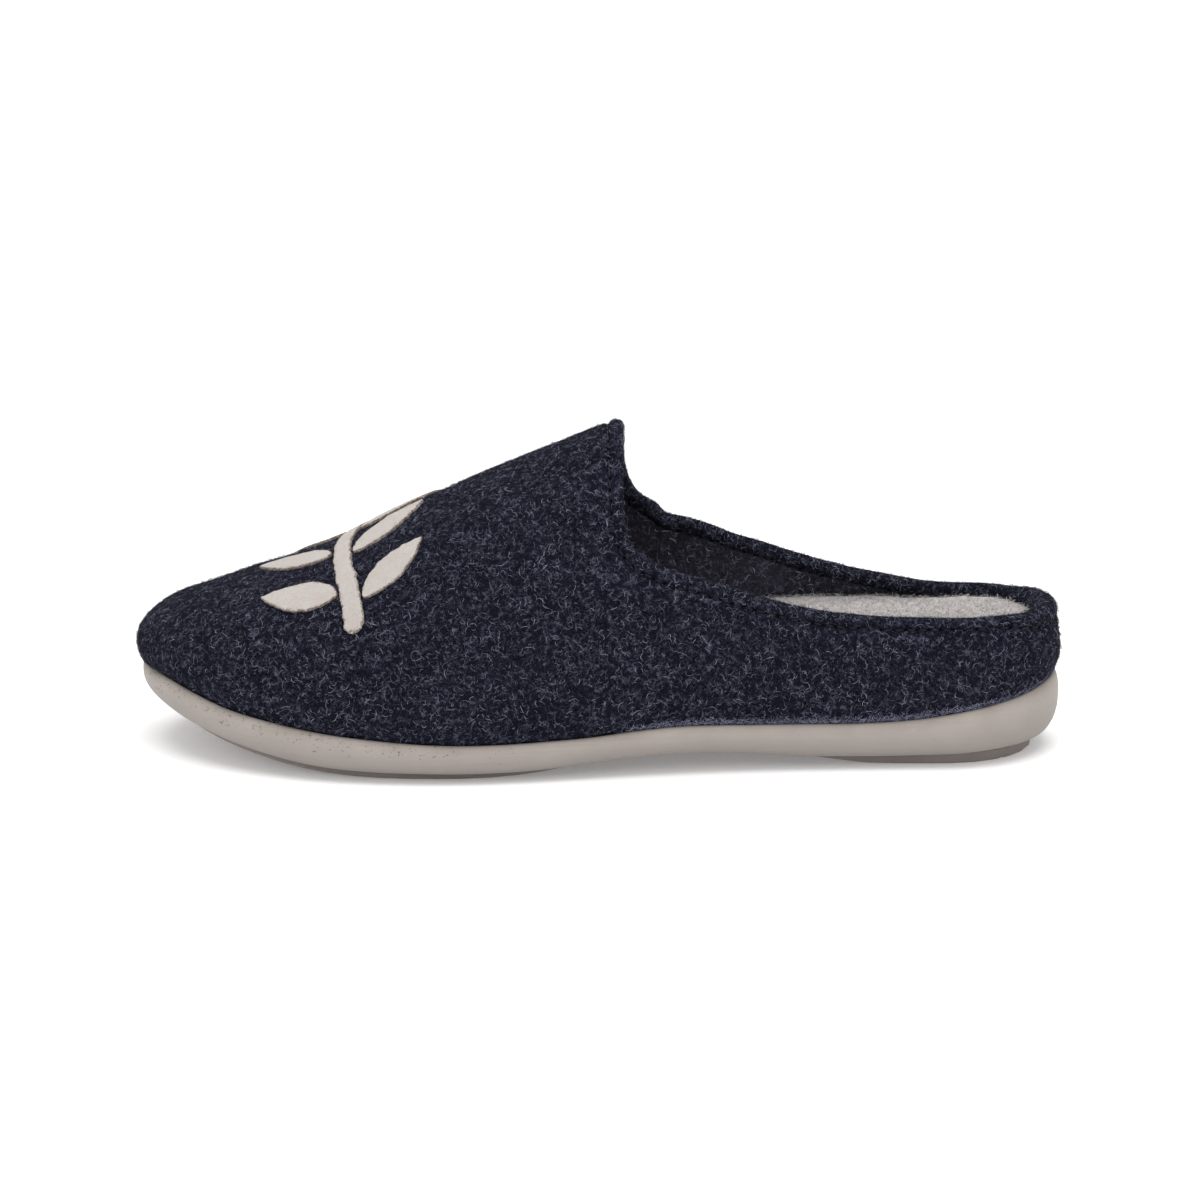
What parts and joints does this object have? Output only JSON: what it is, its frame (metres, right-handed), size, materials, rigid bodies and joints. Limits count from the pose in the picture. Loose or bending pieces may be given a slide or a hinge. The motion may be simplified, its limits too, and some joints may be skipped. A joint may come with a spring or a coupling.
{
  "type": "felt slipper",
  "caption": "Backless felt house slipper for the left foot, with a low rim round the heel, a moulded sole and a leafy felt motif on the toe.",
  "frame": {"origin": "centre of the bounding box on the floor, under the middle of the slipper", "axes": "toe towards -X, heel towards +X, outer side of the foot towards -Y, up +Z"},
  "size_m": [0.265, 0.0982, 0.0953],
  "materials": {
    "navy_felt": "thick heathered navy wool felt, matt and slightly hairy",
    "taupe_rubber": "taupe-grey foam rubber, satin, with tiny pinholes",
    "tread_rubber": "slightly darker taupe rubber, matt",
    "cream_pile": "off-white wool pile",
    "cream_felt": "off-white felt, matt"
  },
  "bodies": {
    "root": {"upper": "navy_felt", "sole": "taupe_rubber", "tread": "tread_rubber", "insole": "cream_pile", "sprig_stem": "cream_felt", "sprig_leaf_1": "cream_felt", "sprig_leaf_2": "cream_felt", "sprig_leaf_3": "cream_felt", "sprig_leaf_4": "cream_felt", "sprig_leaf_5": "cream_felt", "sprig_leaf_6": "cream_felt", "sprig_leaf_7": "cream_felt", "sprig_leaf_8": "cream_felt", "sprig_leaf_9": "cream_felt"}
  },
  "joints": []
}
